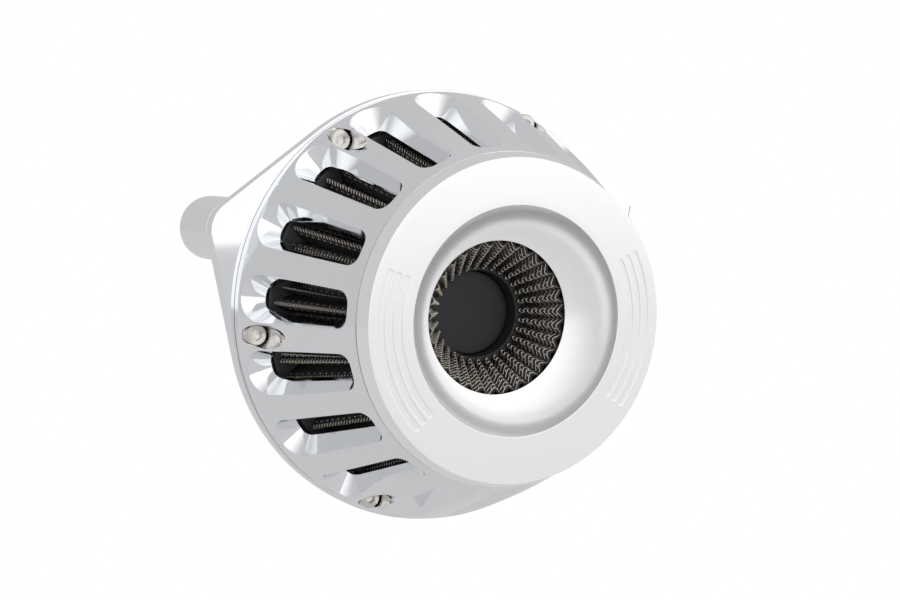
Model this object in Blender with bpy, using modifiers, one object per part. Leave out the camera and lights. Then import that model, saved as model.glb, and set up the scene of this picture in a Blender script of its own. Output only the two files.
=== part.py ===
"""Round motorcycle air filter: a pleated element with a sunken front cone, held between a
two-lobed backplate and a slotted cover with a turned face ring.

Every piece is modelled about the filter's own axis, with local +Z towards the front. Three empties
turn that axis to -Y, one for each group of pieces that comes off in one go. The origin is the
centre of the face that seals on the throttle body. Sizes are in metres.
"""

import math

import bmesh
import bpy
from mathutils import Matrix, Vector

MM = 0.001

# Clearances between pieces
REST_GAP = 0.3 * MM  # between two faces that rest on each other
SLIP_GAP = 0.5 * MM  # around a ring that locates another one
HOLE_GAP = 0.3 * MM  # around a screw in its hole

# Overall sizes. Heights are measured from the backplate's front face.
RIM_RADIUS = 89 * MM
SHOULDER_RADIUS = 64.4 * MM
SHOULDER_HEIGHT = 64.2 * MM
FACE_RADIUS = SHOULDER_RADIUS - 2.1 * MM
FACE_HEIGHT = SHOULDER_HEIGHT + 6.5 * MM
FACE_DISH = FACE_RADIUS - 18.2 * MM
MOUTH_RADIUS = FACE_DISH - 14.2 * MM
MOUTH_HEIGHT = FACE_HEIGHT - 17 * MM

# Backplate
PLATE_RADIUS = RIM_RADIUS + 1 * MM
PLATE_THICKNESS = 6.35 * MM
BORE_RADIUS = 26 * MM
BORE_FLARE = 4 * MM
BOSS_RADIUS = BORE_RADIUS + 19 * MM
BOSS_HEIGHT = 6.2 * MM
REGISTER_WALL = 3 * MM
REGISTER_HEIGHT = 4 * MM
GASKET_THICKNESS = 1.5 * MM

# Breather posts, one behind each lobe of the backplate
POST_DISTANCE = PLATE_RADIUS + 1 * MM
POST_RISE = math.radians(23.5)
POST_RADIUS = 13.2 * MM
POST_LENGTH = 35.5 * MM
SPIGOT_RADIUS = POST_RADIUS - 5.2 * MM
SPIGOT_HEIGHT = 1.9 * MM
POCKET_DEPTH = 4.4 * MM
GALLERY_RADIUS = 1.8 * MM
SEAL_RADIUS = POST_RADIUS - 2.6 * MM
SEAL_CORD = 0.85 * MM
BOLT_RADIUS = 4.76 * MM
BOLT_HEAD_RADIUS = 6.2 * MM
BOLT_HEAD_HEIGHT = 5 * MM
BOLT_HEAD_SUNK = 1.5 * MM
BOLT_BORE = 2.2 * MM
BOLT_KEY = 4 * MM
BOLT_REACH = 12 * MM

# Throttle body screws
THROTTLE_SCREWS = 3
THROTTLE_CIRCLE = BORE_RADIUS + 11.5 * MM
THROTTLE_SCREW_RADIUS = 3.175 * MM
THROTTLE_HEAD_RADIUS = 5.6 * MM
THROTTLE_HEAD_HEIGHT = 3.4 * MM
THROTTLE_KEY = 2 * MM
THROTTLE_REACH = 10 * MM

# Filter element
ELEMENT_BASE_RADIUS = RIM_RADIUS - 12 * MM
ELEMENT_BASE_HEIGHT = 5 * MM
ELEMENT_BORE = ELEMENT_BASE_RADIUS - 15 * MM
OUTER_PLEATS = 60
PLEAT_DEPTH = 8 * MM
MEDIA_THICKNESS = 1.4 * MM
OUTER_TIP_BACK = ELEMENT_BASE_RADIUS - 2.6 * MM
OUTER_TIP_FRONT = SHOULDER_RADIUS - 5.4 * MM
FRONT_RING_RADIUS = OUTER_TIP_FRONT + 1.4 * MM
FRONT_RING_BACK = MOUTH_HEIGHT - 4.2 * MM
FRONT_RING_FRONT = MOUTH_HEIGHT + 2.3 * MM
CONE_PLEATS = 31
CONE_PLEAT_DEPTH = 3.2 * MM
CONE_MOUTH_TIP = MOUTH_RADIUS - 1.3 * MM
CONE_FLOOR_TIP = CONE_MOUTH_TIP - 10.4 * MM
CONE_MOUTH = MOUTH_HEIGHT - 1.1 * MM
CONE_FLOOR = CONE_MOUTH - 16.1 * MM
CONE_RING_INNER = CONE_FLOOR_TIP - 0.9 * MM
CONE_RING_OUTER = CONE_RING_INNER + 6.7 * MM
CONE_RING_HEIGHT = 9 * MM
DISC_RADIUS = CONE_RING_INNER - 0.6 * MM
DISC_THICKNESS = 2 * MM
DISC_LEVEL = CONE_FLOOR - 6.5 * MM

# Slotted cover
COVER_TURN = math.radians(2.5)
RIM_HEIGHT = 4.2 * MM
RIM_INNER = RIM_RADIUS - 10.6 * MM
FLANGE_HEIGHT = 8 * MM
SHOULDER_WALL = 4 * MM
SHOULDER_INNER = SHOULDER_RADIUS - 4.9 * MM
SHOULDER_BORE = FACE_DISH + 2.4 * MM
FLANK_SWELL = 0.8 * MM
FLANK_STEPS = 4
SLOTS = 18
SLOT_BACK_RADIUS = RIM_RADIUS - 0.6 * MM
SLOT_FRONT_RADIUS = SHOULDER_RADIUS + 1.8 * MM
SLOT_BACK_HALF = 9.3 * MM
SLOT_FRONT_HALF = 7.3 * MM
SLOT_CORNER = 5 * MM
SLOT_DRAFT = math.radians(30)
SLOT_DEPTH = 11.5 * MM
SLOT_ABOVE = 4 * MM

# Cover screws
COVER_SCREWS = 6
SCREW_CIRCLE = RIM_RADIUS - 5.1 * MM
SCREW_RADIUS = 2.5 * MM
SCREW_HEAD_RADIUS = 4.25 * MM
SCREW_HEAD_HEIGHT = 5 * MM
SCREW_SEAT = 6.3 * MM
SCREW_KEY = 2 * MM
SCREW_KEY_DEPTH = 2.5 * MM
SCREW_POCKET = 4.7 * MM

# Face ring and the screws that hold it from behind
MOUTH_WALL = 2.4 * MM
MOUTH_STEEP = math.radians(75)
MOUTH_STEPS = 5
FACE_GROOVES = 3
GROOVE_RADIUS = FACE_RADIUS - 5.4 * MM
GROOVE_SPACING = 3.55 * MM
GROOVE_HALF_WIDTH = 1.2 * MM
GROOVE_DEPTH = 0.6 * MM
GROOVE_TOP = math.radians(66.9)
GROOVE_BOTTOM = math.radians(128.9)
FACE_SCREWS = 4
FACE_SCREW_CIRCLE = SHOULDER_BORE + 7 * MM
FACE_SCREW_RADIUS = 1.5 * MM
FACE_SCREW_HEAD = 2.75 * MM
FACE_SCREW_HEAD_HEIGHT = 2.2 * MM
FACE_SCREW_BITE = 3.5 * MM

# Roundness of the turned pieces
SEGMENTS_LARGE = 54
SEGMENTS_MEDIUM = 24
SEGMENTS_SMALL = 12

# Levels along the axis, from the throttle body face
BOSS_BACK = GASKET_THICKNESS + REST_GAP
PLATE_BACK = BOSS_BACK + BOSS_HEIGHT
PLATE_FRONT = PLATE_BACK + PLATE_THICKNESS
POST_FRONT = PLATE_BACK - REST_GAP
POST_BACK = POST_FRONT - POST_LENGTH
COVER_BACK = PLATE_FRONT + REST_GAP
FACE_BACK = PLATE_FRONT + SHOULDER_HEIGHT + REST_GAP


def clear_scene():
    for item in list(bpy.data.objects):
        bpy.data.objects.remove(item, do_unlink=True)


def new_collection(name):
    group = bpy.data.collections.new(name)
    bpy.context.scene.collection.children.link(group)
    return group


def new_axis(name):
    """An empty on the filter's axis, whose local +Z points to the front."""
    axis = bpy.data.objects.new(name, None)
    axis.rotation_euler = (math.radians(90), 0, 0)
    axis.empty_display_size = 0.02
    PARTS.objects.link(axis)
    return axis


def new_material(name, colour, roughness, metallic):
    made = bpy.data.materials.new(name)
    made.use_nodes = True
    shader = made.node_tree.nodes["Principled BSDF"]
    shader.inputs["Base Color"].default_value = (*colour, 1)
    shader.inputs["Roughness"].default_value = roughness
    shader.inputs["Metallic"].default_value = metallic
    return made


clear_scene()
PARTS = new_collection("air_filter")
CUTTERS = new_collection("air_filter_cutters")
BACKPLATE_AXIS = new_axis("backplate_axis")
ELEMENT_AXIS = new_axis("element_axis")
COVER_AXIS = new_axis("cover_axis")

CHROME = new_material("chrome", (0.82, 0.83, 0.85), 0.06, 1)
FACE = new_material("polished_face", (0.9, 0.9, 0.92), 0.12, 1)
STEEL = new_material("stainless", (0.62, 0.6, 0.57), 0.25, 1)
ZINC = new_material("zinc_steel", (0.5, 0.5, 0.52), 0.35, 1)
MEDIA = new_material("meshed_media", (0.12, 0.11, 0.1), 0.6, 0.4)
URETHANE = new_material("urethane", (0.05, 0.05, 0.055), 0.5, 0)
RUBBER = new_material("rubber", (0.02, 0.02, 0.02), 0.6, 0)
DISC = new_material("dark_disc", (0.03, 0.03, 0.045), 0.35, 0)


def polar(radius, angle, height=0.0):
    return Vector((radius * math.cos(angle), radius * math.sin(angle), height))


def around(count, start=0.0):
    """Angles of a full circle of equal steps."""
    return [start + math.tau * step / count for step in range(count)]


def finish(item, axis, look):
    """Put a piece on its axis, give it its look and shade its round faces smooth."""
    item.data.materials.append(look)
    item.data.shade_smooth()
    item.data.set_sharp_from_angle(angle=math.radians(35))
    PARTS.objects.link(item)
    item.parent = axis
    return item


def make_cutter(item, axis):
    CUTTERS.objects.link(item)
    item.parent = axis
    item.hide_render = True
    item.display_type = "WIRE"
    return item


def turned(name, profile, segments, closed=True):
    """A profile of (radius, height) points, outer side from top to bottom, swept round the axis."""
    mesh = bpy.data.meshes.new(name)
    corners = [(radius, 0, height) for radius, height in profile]
    edges = [(i, i + 1) for i in range(len(corners) - 1)]
    if closed:
        edges.append((len(corners) - 1, 0))
    mesh.from_pydata(corners, edges, [])
    item = bpy.data.objects.new(name, mesh)
    screw = item.modifiers.new("Turn", "SCREW")
    screw.steps = segments
    screw.render_steps = segments
    screw.use_merge_vertices = True
    screw.merge_threshold = 0.00001
    screw.use_smooth_shade = True
    return item


def ring_profile(inner, outer, low, high):
    return [(outer, high), (outer, low), (inner, low), (inner, high)]


def mesh_item(name, form):
    mesh = bpy.data.meshes.new(name)
    bmesh.ops.recalc_face_normals(form, faces=form.faces)
    if form.calc_volume(signed=True) < 0:
        bmesh.ops.reverse_faces(form, faces=form.faces)
    form.to_mesh(mesh)
    form.free()
    return bpy.data.objects.new(name, mesh)


def add_rod(form, centre, radius, low, high, segments, direction=None):
    """Add a cylinder between two levels, or along a direction from its centre."""
    turn = Matrix.Identity(4)
    if direction is not None:
        turn = direction.to_track_quat("Z", "Y").to_matrix().to_4x4()
    middle = Matrix.Translation((0, 0, (low + high) / 2))
    bmesh.ops.create_cone(
        form,
        cap_ends=True,
        segments=segments,
        radius1=radius,
        radius2=radius,
        depth=high - low,
        matrix=Matrix.Translation(centre) @ turn @ middle,
    )


def rods(name, centres, radius, low, high, segments):
    form = bmesh.new()
    for centre in centres:
        add_rod(form, centre, radius, low, high, segments)
    return mesh_item(name, form)


def boolean(item, tool, operation):
    step = item.modifiers.new(operation.title(), "BOOLEAN")
    step.operation = operation
    step.solver = "EXACT"
    step.object = tool


def post_centres():
    return [polar(POST_DISTANCE, POST_RISE), polar(POST_DISTANCE, math.pi - POST_RISE)]


def screw_centres():
    return [polar(SCREW_CIRCLE, angle) for angle in around(COVER_SCREWS, COVER_TURN)]


def throttle_centres():
    return [polar(THROTTLE_CIRCLE, angle) for angle in around(THROTTLE_SCREWS, math.pi / 2)]


def face_screw_centres():
    start = math.pi / FACE_SCREWS
    return [polar(FACE_SCREW_CIRCLE, angle) for angle in around(FACE_SCREWS, start)]


def plate_outline():
    """The round plate and its two lobes, joined by lines that touch both circles."""
    points = []
    spread = math.acos((PLATE_RADIUS - POST_RADIUS) / POST_DISTANCE)
    right, left = POST_RISE, math.pi - POST_RISE
    arcs = [
        (polar(POST_DISTANCE, right), POST_RADIUS, right - spread, right + spread, 8),
        (Vector((0, 0, 0)), PLATE_RADIUS, right + spread, left - spread, 16),
        (polar(POST_DISTANCE, left), POST_RADIUS, left - spread, left + spread, 8),
        (Vector((0, 0, 0)), PLATE_RADIUS, left + spread, right - spread + math.tau, 36),
    ]
    for centre, radius, start, end, steps in arcs:
        for step in range(steps + 1):
            points.append(centre + polar(radius, start + (end - start) * step / steps))
    return points


def flat_item(name, outline, low, high):
    """A flat outline drawn as a 2D curve, extruded between two levels and made a mesh."""
    curve = bpy.data.curves.new(name, "CURVE")
    curve.dimensions = "2D"
    curve.fill_mode = "BOTH"
    curve.extrude = (high - low) / 2
    spline = curve.splines.new("POLY")
    spline.points.add(len(outline) - 1)
    for point, place in zip(spline.points, outline):
        point.co = (place.x, place.y, 0, 1)
    spline.use_cyclic_u = True
    drawn = bpy.data.objects.new(name + "_curve", curve)
    bpy.context.scene.collection.objects.link(drawn)
    bpy.context.view_layer.update()
    graph = bpy.context.evaluated_depsgraph_get()
    shape = bpy.data.meshes.new_from_object(drawn.evaluated_get(graph))
    bpy.data.objects.remove(drawn, do_unlink=True)
    form = bmesh.new()
    form.from_mesh(shape)
    bpy.data.meshes.remove(shape)
    bmesh.ops.remove_doubles(form, verts=form.verts, dist=0.00001)
    bmesh.ops.translate(form, verts=form.verts, vec=(0, 0, (low + high) / 2))
    return mesh_item(name, form)


def make_backplate():
    plate = flat_item("backplate", plate_outline(), PLATE_BACK, PLATE_FRONT)
    inside = PLATE_THICKNESS / 2
    boss = turned(
        "boss_tool",
        ring_profile(BORE_RADIUS - BORE_FLARE, BOSS_RADIUS, BOSS_BACK, PLATE_BACK + inside),
        SEGMENTS_LARGE,
    )
    register_outer = ELEMENT_BORE - SLIP_GAP
    register = turned(
        "register_tool",
        ring_profile(
            register_outer - REGISTER_WALL,
            register_outer,
            PLATE_FRONT - inside,
            PLATE_FRONT + REGISTER_HEIGHT,
        ),
        SEGMENTS_LARGE,
    )
    bore_profile = [(0, PLATE_FRONT + BORE_FLARE)]
    for step in range(5):
        turn = math.radians(90) * step / 4
        radius = BORE_RADIUS + BORE_FLARE * (1 - math.sin(turn))
        bore_profile.append((radius, PLATE_FRONT - BORE_FLARE * (1 - math.cos(turn))))
    bore_profile[1:1] = [(BORE_RADIUS + BORE_FLARE, PLATE_FRONT + BORE_FLARE)]
    bore_profile += [(BORE_RADIUS, BOSS_BACK - BORE_FLARE), (0, BOSS_BACK - BORE_FLARE)]
    bore = turned("bore_tool", bore_profile, SEGMENTS_LARGE, closed=False)

    drills = bmesh.new()
    for centre in screw_centres():
        radius = SCREW_RADIUS + HOLE_GAP
        add_rod(drills, centre, radius, PLATE_BACK - MM, PLATE_FRONT + MM, SEGMENTS_SMALL)
    for centre in throttle_centres():
        radius = THROTTLE_SCREW_RADIUS + HOLE_GAP
        add_rod(drills, centre, radius, BOSS_BACK - MM, PLATE_FRONT + MM, SEGMENTS_SMALL)
    for centre in post_centres():
        radius = SPIGOT_RADIUS + HOLE_GAP
        add_rod(drills, centre, radius, PLATE_BACK - MM, PLATE_BACK + POCKET_DEPTH, SEGMENTS_MEDIUM)
    holes = mesh_item("hole_tool", drills)

    drills = bmesh.new()
    level = PLATE_BACK + PLATE_THICKNESS / 2
    for centre in post_centres():
        start = BORE_RADIUS - BORE_FLARE
        end = POST_DISTANCE - SPIGOT_RADIUS / 2
        along = centre.normalized()
        add_rod(drills, Vector((0, 0, level)), GALLERY_RADIUS, start, end, 12, along)
    galleries = mesh_item("gallery_tool", drills)

    for tool, operation in (
        (boss, "UNION"),
        (register, "UNION"),
        (bore, "DIFFERENCE"),
        (holes, "DIFFERENCE"),
        (galleries, "DIFFERENCE"),
    ):
        boolean(plate, make_cutter(tool, BACKPLATE_AXIS), operation)
    return finish(plate, BACKPLATE_AXIS, CHROME)


def make_gasket():
    gasket = turned(
        "throttle_gasket",
        ring_profile(BORE_RADIUS, BOSS_RADIUS, 0, GASKET_THICKNESS),
        SEGMENTS_LARGE,
    )
    radius = THROTTLE_SCREW_RADIUS + HOLE_GAP
    holes = rods("gasket_hole_tool", throttle_centres(), radius, -MM, BOSS_BACK, SEGMENTS_SMALL)
    boolean(gasket, make_cutter(holes, BACKPLATE_AXIS), "DIFFERENCE")
    return finish(gasket, BACKPLATE_AXIS, RUBBER)


def screw_form(radius, head_radius, head_height, seat, tip, key, key_depth, segments):
    """A cylinder-headed screw along +Z, its head's underside at the seat level."""
    chamfer = head_height / 8
    profile = [
        (0, seat + head_height),
        (head_radius - chamfer, seat + head_height),
        (head_radius, seat + head_height - chamfer),
        (head_radius, seat),
        (radius, seat),
        (radius, tip + chamfer),
        (radius - chamfer, tip),
        (0, tip),
    ]
    item = turned("screw", profile, segments, closed=False)
    top = seat + head_height
    socket = bmesh.new()
    across_corners = key / math.cos(math.pi / 6)
    add_rod(socket, Vector(), across_corners, top - key_depth, top + MM, 6)
    return item, mesh_item("key_tool", socket)


def place_screws(names, centres, axis, look, **sizes):
    """Copies of one screw, each at its own place on the axis."""
    for name, centre in zip(names, centres):
        item, key = screw_form(**sizes)
        item.name = name
        item.data.name = name
        item.location = centre
        make_cutter(key, axis).location = centre
        boolean(item, key, "DIFFERENCE")
        finish(item, axis, look)


def make_throttle_screws():
    place_screws(
        [f"throttle_screw_{number + 1}" for number in range(THROTTLE_SCREWS)],
        throttle_centres(),
        BACKPLATE_AXIS,
        ZINC,
        radius=THROTTLE_SCREW_RADIUS,
        head_radius=THROTTLE_HEAD_RADIUS,
        head_height=THROTTLE_HEAD_HEIGHT,
        seat=PLATE_FRONT + REST_GAP,
        tip=-THROTTLE_REACH,
        key=THROTTLE_KEY,
        key_depth=THROTTLE_HEAD_HEIGHT / 2,
        segments=SEGMENTS_SMALL,
    )


def make_post(side, centre):
    """A hollow stand-off, the hollow bolt inside it and the seal round its spigot."""
    hole = BOLT_RADIUS + HOLE_GAP
    sink = BOLT_HEAD_RADIUS + HOLE_GAP
    top = POST_FRONT + SPIGOT_HEIGHT
    seat = top - BOLT_HEAD_SUNK - BOLT_HEAD_HEIGHT
    half_groove = SEAL_CORD + REST_GAP
    groove_floor = POST_FRONT - 2 * SEAL_CORD - REST_GAP
    profile = [
        (SPIGOT_RADIUS, top),
        (SPIGOT_RADIUS, POST_FRONT),
        (SEAL_RADIUS - half_groove, POST_FRONT),
        (SEAL_RADIUS - half_groove, groove_floor),
        (SEAL_RADIUS + half_groove, groove_floor),
        (SEAL_RADIUS + half_groove, POST_FRONT),
        (POST_RADIUS, POST_FRONT),
        (POST_RADIUS, POST_BACK),
        (hole, POST_BACK),
        (hole, seat - REST_GAP),
        (sink, seat - REST_GAP),
        (sink, top),
    ]
    post = turned(f"breather_post_{side}", profile, SEGMENTS_MEDIUM)
    post.location = centre
    finish(post, BACKPLATE_AXIS, CHROME)

    bolt_profile = [
        (BOLT_HEAD_RADIUS, seat + BOLT_HEAD_HEIGHT),
        (BOLT_HEAD_RADIUS, seat),
        (BOLT_RADIUS, seat),
        (BOLT_RADIUS, POST_BACK - BOLT_REACH),
        (BOLT_BORE, POST_BACK - BOLT_REACH),
        (BOLT_BORE, seat + BOLT_HEAD_HEIGHT),
    ]
    bolt = turned(f"breather_bolt_{side}", bolt_profile, SEGMENTS_SMALL)
    bolt.location = centre
    socket = bmesh.new()
    across_corners = BOLT_KEY / math.cos(math.pi / 6)
    head_top = seat + BOLT_HEAD_HEIGHT
    add_rod(socket, Vector(), across_corners, head_top - BOLT_HEAD_HEIGHT / 2, head_top + MM, 6)
    key = make_cutter(mesh_item("bolt_key_tool", socket), BACKPLATE_AXIS)
    key.location = centre
    boolean(bolt, key, "DIFFERENCE")
    finish(bolt, BACKPLATE_AXIS, ZINC)

    level = groove_floor + REST_GAP + SEAL_CORD
    cord = []
    for angle in around(8):
        cord.append((SEAL_RADIUS + SEAL_CORD * math.cos(angle), level - SEAL_CORD * math.sin(angle)))
    seal = turned(f"breather_seal_{side}", cord, SEGMENTS_MEDIUM)
    seal.location = centre
    finish(seal, BACKPLATE_AXIS, RUBBER)


def moved_copy(form, raised, places):
    """Put each point that an extrusion has just doubled at its own new place."""
    for vert in [item for item in raised if isinstance(item, bmesh.types.BMVert)]:
        start = min(places, key=lambda place: (place[0] - vert.co).length_squared)
        vert.co = start[1]


def pleated(name, count, depth, low, high, low_tip, high_tip):
    """A zigzag band of media between two levels. A negative depth turns its tips inwards."""
    form = bmesh.new()
    low += MEDIA_THICKNESS / 2
    high -= MEDIA_THICKNESS / 2
    places = []
    for step in range(2 * count):
        angle = math.pi * step / count
        drop = depth if step % 2 else 0
        places.append((polar(low_tip - drop, angle, low), polar(high_tip - drop, angle, high)))
    ring = [form.verts.new(place[0]) for place in places]
    edges = [form.edges.new((ring[i - 1], ring[i])) for i in range(len(ring))]
    moved_copy(form, bmesh.ops.extrude_edge_only(form, edges=edges)["geom"], places)
    mesh = bpy.data.meshes.new(name)
    form.to_mesh(mesh)
    form.free()
    band = bpy.data.objects.new(name, mesh)
    wall = band.modifiers.new("Media", "SOLIDIFY")
    wall.thickness = MEDIA_THICKNESS
    wall.offset = 0
    return band


def make_element():
    base_low = COVER_BACK
    base_high = base_low + ELEMENT_BASE_HEIGHT
    base = turned(
        "filter_base_ring",
        ring_profile(ELEMENT_BORE, ELEMENT_BASE_RADIUS, base_low, base_high),
        SEGMENTS_LARGE,
    )
    finish(base, ELEMENT_AXIS, URETHANE)

    ring_low = PLATE_FRONT + FRONT_RING_BACK
    media = pleated(
        "filter_outer_pleats",
        OUTER_PLEATS,
        PLEAT_DEPTH,
        base_high + REST_GAP,
        ring_low - REST_GAP,
        OUTER_TIP_BACK,
        OUTER_TIP_FRONT,
    )
    finish(media, ELEMENT_AXIS, MEDIA)

    lip = PLATE_FRONT + MOUTH_HEIGHT - REST_GAP
    cone_edge = CONE_MOUTH_TIP + CONE_PLEAT_DEPTH + MEDIA_THICKNESS + SLIP_GAP
    ring_high = PLATE_FRONT + FRONT_RING_FRONT
    neck = mouth_neck(ring_high)
    cone_low = PLATE_FRONT + CONE_FLOOR
    cone_high = PLATE_FRONT + CONE_MOUTH
    profile = [
        (FRONT_RING_RADIUS, ring_high),
        (FRONT_RING_RADIUS, ring_low),
        (cone_edge, ring_low),
        (cone_edge, cone_high + REST_GAP),
        (MOUTH_RADIUS + SLIP_GAP, cone_high + REST_GAP),
        (MOUTH_RADIUS + SLIP_GAP, lip),
        (neck, lip),
        (neck, ring_high),
    ]
    finish(turned("filter_front_ring", profile, SEGMENTS_LARGE), ELEMENT_AXIS, URETHANE)

    cone = pleated(
        "filter_cone_pleats",
        CONE_PLEATS,
        -CONE_PLEAT_DEPTH,
        cone_low,
        cone_high,
        CONE_FLOOR_TIP,
        CONE_MOUTH_TIP,
    )
    finish(cone, ELEMENT_AXIS, MEDIA)

    ring_top = cone_low - REST_GAP
    seat = PLATE_FRONT + DISC_LEVEL - DISC_THICKNESS - REST_GAP
    profile = [
        (CONE_RING_OUTER, ring_top),
        (CONE_RING_OUTER, ring_top - CONE_RING_HEIGHT),
        (DISC_RADIUS / 2, ring_top - CONE_RING_HEIGHT),
        (DISC_RADIUS / 2, seat),
        (CONE_RING_INNER, seat),
        (CONE_RING_INNER, ring_top),
    ]
    ring = turned("filter_cone_ring", profile, SEGMENTS_MEDIUM * 2)
    finish(ring, ELEMENT_AXIS, RUBBER)

    top = PLATE_FRONT + DISC_LEVEL
    profile = [(0, top), (DISC_RADIUS, top), (DISC_RADIUS, top - DISC_THICKNESS)]
    profile.append((0, top - DISC_THICKNESS))
    disc = turned("filter_cone_disc", profile, SEGMENTS_MEDIUM * 2, closed=False)
    finish(disc, ELEMENT_AXIS, DISC)


def flank_radius(height):
    """The cover's outer radius at a height above the backplate, slightly swollen outwards."""
    share = (height - RIM_HEIGHT) / (SHOULDER_HEIGHT - RIM_HEIGHT)
    straight = RIM_RADIUS + (SHOULDER_RADIUS - RIM_RADIUS) * share
    return straight + 4 * FLANK_SWELL * share * (1 - share)


def flank_height(radius):
    """The height at which the straight flank has this radius."""
    share = (RIM_RADIUS - radius) / (RIM_RADIUS - SHOULDER_RADIUS)
    return RIM_HEIGHT + (SHOULDER_HEIGHT - RIM_HEIGHT) * share


def arc(centre, radius, start, end, steps):
    points = []
    for step in range(steps + 1):
        angle = start + (end - start) * step / steps
        points.append((centre[0] + radius * math.cos(angle), centre[1] + radius * math.sin(angle)))
    return points


def slot_outline(length, inset):
    """A slot with a round back end and two round front corners, pulled in by an inset."""
    back = SLOT_BACK_HALF - inset
    front = SLOT_FRONT_HALF - inset
    corner = max(SLOT_CORNER - inset, front / 3)
    quarter = math.pi / 2
    back_centre = (-length / 2 + SLOT_BACK_HALF, 0)
    end = length / 2 - inset
    return (
        arc(back_centre, back, quarter, 3 * quarter, 8)
        + arc((end - corner, corner - front), corner, -quarter, 0, 3)
        + arc((end - corner, front - corner), corner, 0, quarter, 3)
    )


def make_slot_tools():
    """Drafted plugs, one for each slot, that stand square to the cover's flank."""
    back = Vector((SLOT_BACK_RADIUS, 0, flank_height(SLOT_BACK_RADIUS)))
    front = Vector((SLOT_FRONT_RADIUS, 0, flank_height(SLOT_FRONT_RADIUS)))
    length = (front - back).length
    along = (front - back).normalized()
    across = Vector((0, 1, 0))
    outwards = across.cross(along)
    middle = (front + back) / 2
    form = bmesh.new()
    for angle in around(SLOTS, COVER_TURN + math.pi / SLOTS):
        turn = Matrix.Rotation(angle, 3, "Z")
        rings = []
        for lift in (-SLOT_DEPTH, SLOT_ABOVE):
            ring = []
            for x, y in slot_outline(length, -lift * math.tan(SLOT_DRAFT)):
                place = middle + along * x + across * y + outwards * lift
                ring.append(turn @ (place + Vector((0, 0, PLATE_FRONT))))
            rings.append(ring)
        floor = form.faces.new([form.verts.new(place) for place in rings[0]])
        raised = bmesh.ops.extrude_face_region(form, geom=[floor])["geom"]
        moved_copy(form, raised, list(zip(*rings)))
    return mesh_item("slot_tools", form)


def make_cover():
    top = PLATE_FRONT + SHOULDER_HEIGHT
    profile = []
    for step in range(FLANK_STEPS + 1):
        height = SHOULDER_HEIGHT + (RIM_HEIGHT - SHOULDER_HEIGHT) * step / FLANK_STEPS
        profile.append((flank_radius(height), PLATE_FRONT + height))
    profile += [
        (RIM_RADIUS, COVER_BACK),
        (RIM_INNER, COVER_BACK),
        (RIM_INNER, PLATE_FRONT + FLANGE_HEIGHT),
        (SHOULDER_INNER, top - SHOULDER_WALL),
        (SHOULDER_BORE, top - SHOULDER_WALL),
        (SHOULDER_BORE, top),
    ]
    cover = turned("slotted_cover", profile, SEGMENTS_LARGE)

    centres = screw_centres()
    hole = SCREW_RADIUS + HOLE_GAP
    seat = PLATE_FRONT + SCREW_SEAT - REST_GAP
    screw_holes = rods("screw_hole_tool", centres, hole, COVER_BACK - MM, top, SEGMENTS_SMALL)
    pockets = rods("pocket_tool", centres, SCREW_POCKET, seat, top, SEGMENTS_MEDIUM)
    hole = FACE_SCREW_RADIUS + HOLE_GAP
    low = top - SHOULDER_WALL - MM
    face_holes = rods("face_hole_tool", face_screw_centres(), hole, low, top + MM, SEGMENTS_SMALL)
    for tool in (make_slot_tools(), pockets, screw_holes, face_holes):
        boolean(cover, make_cutter(tool, COVER_AXIS), "DIFFERENCE")
    return finish(cover, COVER_AXIS, CHROME)


def make_cover_screws():
    place_screws(
        [f"cover_screw_{number + 1}" for number in range(COVER_SCREWS)],
        screw_centres(),
        COVER_AXIS,
        STEEL,
        radius=SCREW_RADIUS,
        head_radius=SCREW_HEAD_RADIUS,
        head_height=SCREW_HEAD_HEIGHT,
        seat=PLATE_FRONT + SCREW_SEAT,
        tip=PLATE_BACK + REST_GAP,
        key=SCREW_KEY,
        key_depth=SCREW_KEY_DEPTH,
        segments=SEGMENTS_SMALL,
    )


def mouth_curve(offset):
    """Points down the dished mouth, an arc from the face to the sunken rim, or its offset."""
    wide = FACE_DISH - MOUTH_RADIUS
    deep = FACE_HEIGHT - MOUTH_HEIGHT
    chord = math.atan2(deep, wide)
    half_turn = MOUTH_STEEP - chord
    size = math.hypot(wide, deep) / (2 * math.sin(half_turn))
    points = []
    for step in range(MOUTH_STEPS + 1):
        slope = MOUTH_STEEP - 2 * half_turn * step / MOUTH_STEPS
        radius = FACE_DISH - size * (math.sin(MOUTH_STEEP) - math.sin(slope))
        height = FACE_HEIGHT - size * (math.cos(slope) - math.cos(MOUTH_STEEP))
        radius += offset * math.sin(slope)
        height -= offset * math.cos(slope)
        points.append((radius, PLATE_FRONT + height))
    return points


def mouth_neck(level):
    """A radius that clears the back of the mouth's wall below a level."""
    back = [radius for radius, height in mouth_curve(MOUTH_WALL) if height > level]
    return min(back) + SLIP_GAP


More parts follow.
